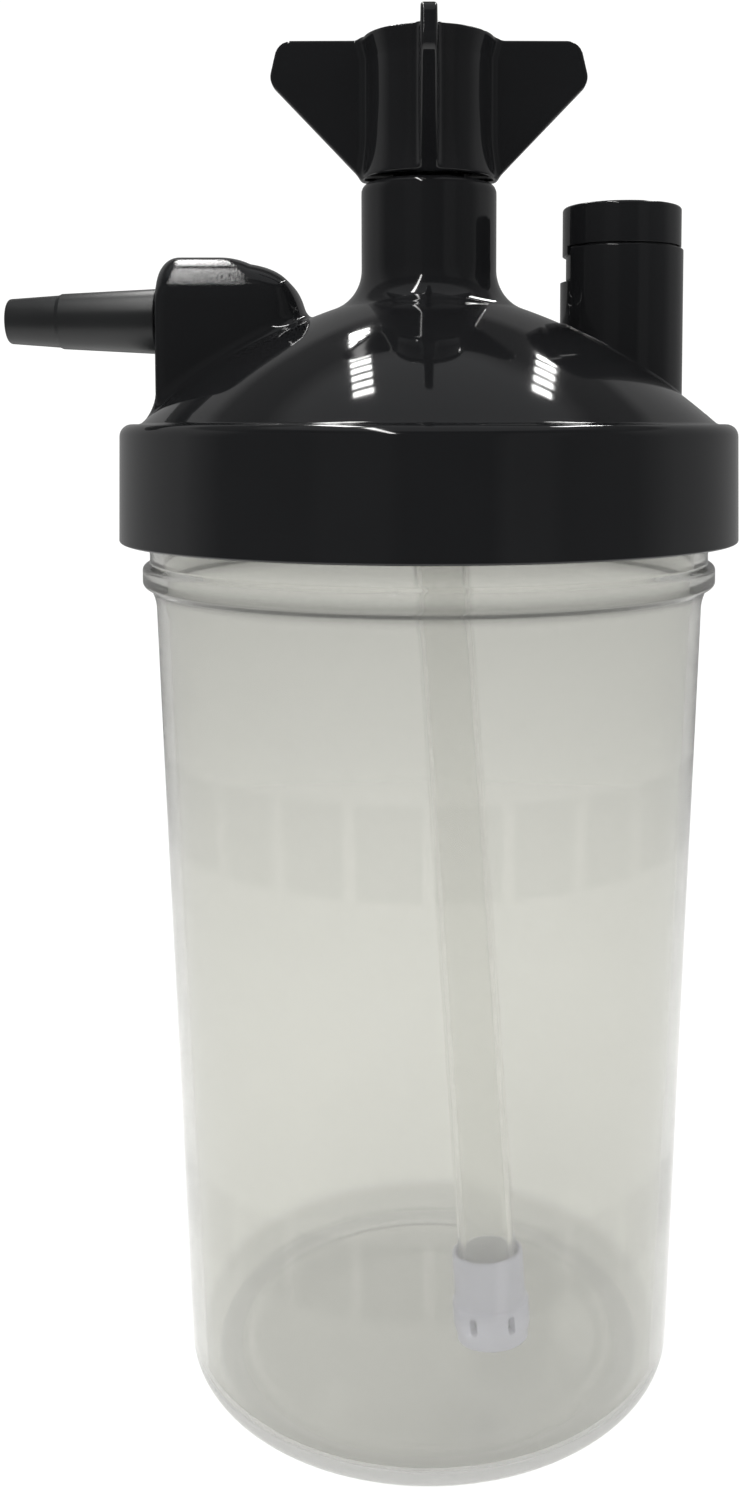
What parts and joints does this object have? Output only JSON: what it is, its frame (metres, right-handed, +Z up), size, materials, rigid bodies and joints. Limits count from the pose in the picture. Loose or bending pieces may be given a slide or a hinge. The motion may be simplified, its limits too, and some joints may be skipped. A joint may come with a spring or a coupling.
{
  "type": "bubble humidifier bottle",
  "caption": "Bubble humidifier bottle for oxygen: clear screw jar, black domed lid with a wing nut inlet, hose nipple outlet, relief valve, dip tube and diffuser.",
  "frame": {"origin": "middle of the jar's flat base, on the jar's axis", "axes": "+Z up through the lid's neck and the wing nut; the outlet nipple points to -X and the relief valve stands on the +X side; the dip tube leans towards -Y"},
  "size_m": [0.1031, 0.087, 0.1884],
  "materials": {
    "black_plastic": "glossy",
    "satin_black_plastic": "satin",
    "clear_polypropylene": "translucent, slightly hazy",
    "clear_tube": "translucent",
    "lavender_plastic": "translucent satin",
    "porous_plastic": "porous, matt",
    "silicone": "matt",
    "black_rubber": "matt",
    "acetal": "satin",
    "spring_steel": "drawn wire"
  },
  "bodies": {
    "jar": {"jar": "clear_polypropylene"},
    "gasket": {"lid_gasket": "silicone"},
    "lid": {"lid": "black_plastic", "inlet_gland": "black_plastic", "gland_o_ring": "black_rubber", "outlet_nipple": "satin_black_plastic", "dip_tube": "clear_tube", "diffuser_head": "lavender_plastic", "diffuser_frit": "porous_plastic", "relief_valve_cap": "black_plastic", "relief_seat": "acetal"},
    "wing_nut": {"inlet_wing_nut": "black_plastic"},
    "poppet": {"relief_poppet": "acetal", "poppet_seal": "silicone", "relief_spring": "spring_steel"}
  },
  "joints": [
    {"name": "lid_rise", "type": "slide", "parent": "jar", "child": "gasket", "axis": [0, 0, 1], "range_m": [0, 0.0051]},
    {"name": "lid_turn", "type": "hinge", "parent": "gasket", "child": "lid", "pos_m": [0, 0, 0.1324], "axis": [0, 0, 1], "range_deg": [0, 450]},
    {"name": "nut_spin", "type": "hinge", "parent": "lid", "child": "wing_nut", "pos_m": [0, 0, 0.17], "axis": [0, 0, 1], "continuous": true},
    {"name": "relief_lift", "type": "slide", "parent": "lid", "child": "poppet", "axis": [0, 0, 1], "range_m": [0, 0.0015], "stiffness_N_per_m": 400, "springref_m": -0.0025, "deforming": ["relief_spring"]}
  ],
  "couplings": [
    {"joint": "lid_rise", "follows": "lid_turn", "m_per_rad": 0.00063662}
  ]
}
